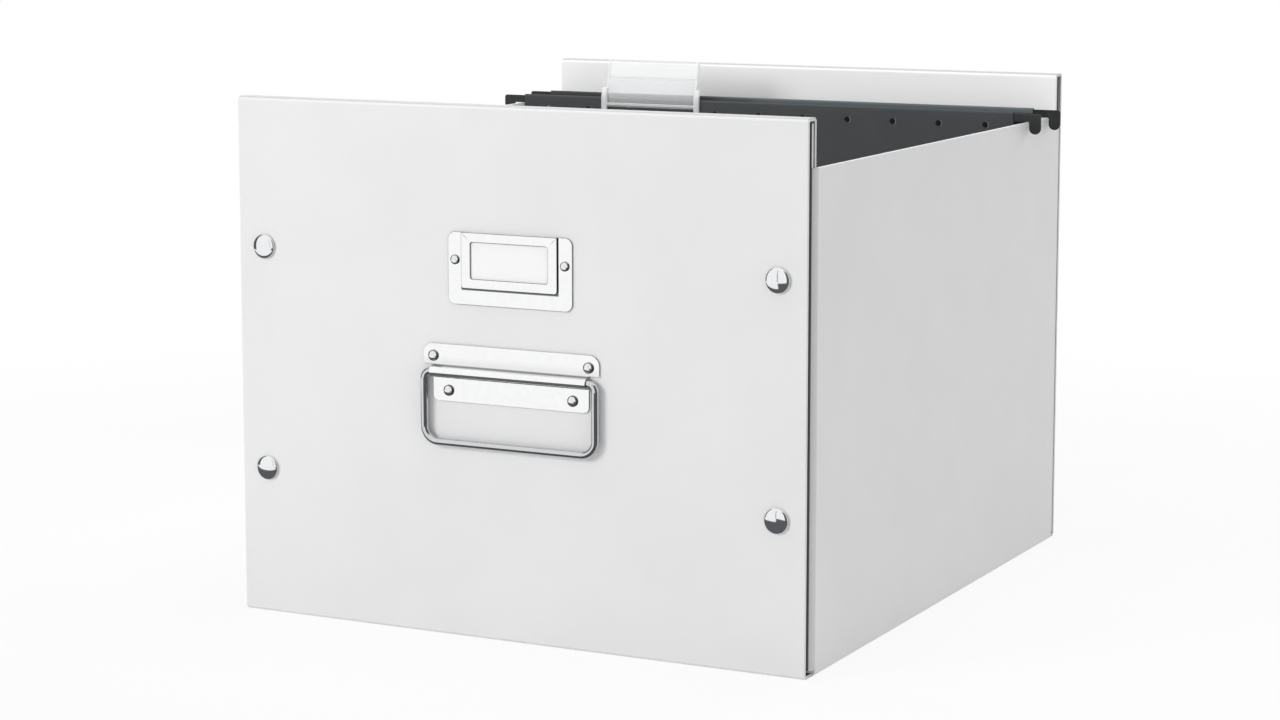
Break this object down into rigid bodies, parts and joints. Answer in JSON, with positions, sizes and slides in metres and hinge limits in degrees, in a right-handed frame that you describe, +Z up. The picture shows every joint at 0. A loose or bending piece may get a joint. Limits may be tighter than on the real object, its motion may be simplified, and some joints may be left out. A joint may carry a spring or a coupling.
{
  "type": "hanging file box",
  "caption": "Folded board box with a carrying handle and label holder, open at the top, with a suspension file hung on its lower side walls.",
  "frame": {"origin": "middle of the base's underside, midway between the side walls and between the outer faces of the front and back walls", "axes": "+X to the right as seen from the front, +Y from the front wall to the back wall, +Z up"},
  "size_m": [0.351, 0.379, 0.2815],
  "materials": {
    "board": "white laminated board",
    "pressed_plate": "bright plated sheet",
    "wire": "bright plated wire",
    "stud_metal": "bright plated",
    "rivet_metal": "bright plated",
    "paper": "white card",
    "file_card": "dark grey card",
    "bar": "dark grey",
    "clear_tab": "clear plastic"
  },
  "bodies": {
    "box": {"box_body": "board", "front_lower_left_cap": "stud_metal", "front_lower_left_socket": "stud_metal", "front_lower_left_stud": "stud_metal", "front_lower_left_post": "stud_metal", "front_lower_right_cap": "stud_metal", "front_lower_right_socket": "stud_metal", "front_lower_right_stud": "stud_metal", "front_lower_right_post": "stud_metal", "front_upper_left_cap": "stud_metal", "front_upper_left_socket": "stud_metal", "front_upper_left_stud": "stud_metal", "front_upper_left_post": "stud_metal", "front_upper_right_cap": "stud_metal", "front_upper_right_socket": "stud_metal", "front_upper_right_stud": "stud_metal", "front_upper_right_post": "stud_metal", "back_lower_left_cap": "stud_metal", "back_lower_left_socket": "stud_metal", "back_lower_left_stud": "stud_metal", "back_lower_left_post": "stud_metal", "back_lower_right_cap": "stud_metal", "back_lower_right_socket": "stud_metal", "back_lower_right_stud": "stud_metal", "back_lower_right_post": "stud_metal", "back_upper_left_cap": "stud_metal", "back_upper_left_socket": "stud_metal", "back_upper_left_stud": "stud_metal", "back_upper_left_post": "stud_metal", "back_upper_right_cap": "stud_metal", "back_upper_right_socket": "stud_metal", "back_upper_right_stud": "stud_metal", "back_upper_right_post": "stud_metal", "handle_plate": "pressed_plate", "handle_rivet_upper_left": "rivet_metal", "handle_rivet_upper_right": "rivet_metal", "handle_rivet_lower_left": "rivet_metal", "handle_rivet_lower_right": "rivet_metal", "label_holder": "pressed_plate", "label_card": "paper", "label_rivet_left": "rivet_metal", "label_rivet_right": "rivet_metal", "folder_sheet": "file_card", "folder_bar_front": "bar", "folder_bar_rear": "bar", "tab_holder": "clear_tab", "tab_card": "paper"},
    "handle": {"handle_bail": "wire"}
  },
  "joints": [
    {"name": "handle_swing", "type": "hinge", "parent": "box", "child": "handle", "pos_m": [0, -0.188, 0.1397], "axis": [-1, 0, 0], "range_deg": [0, 160]}
  ]
}
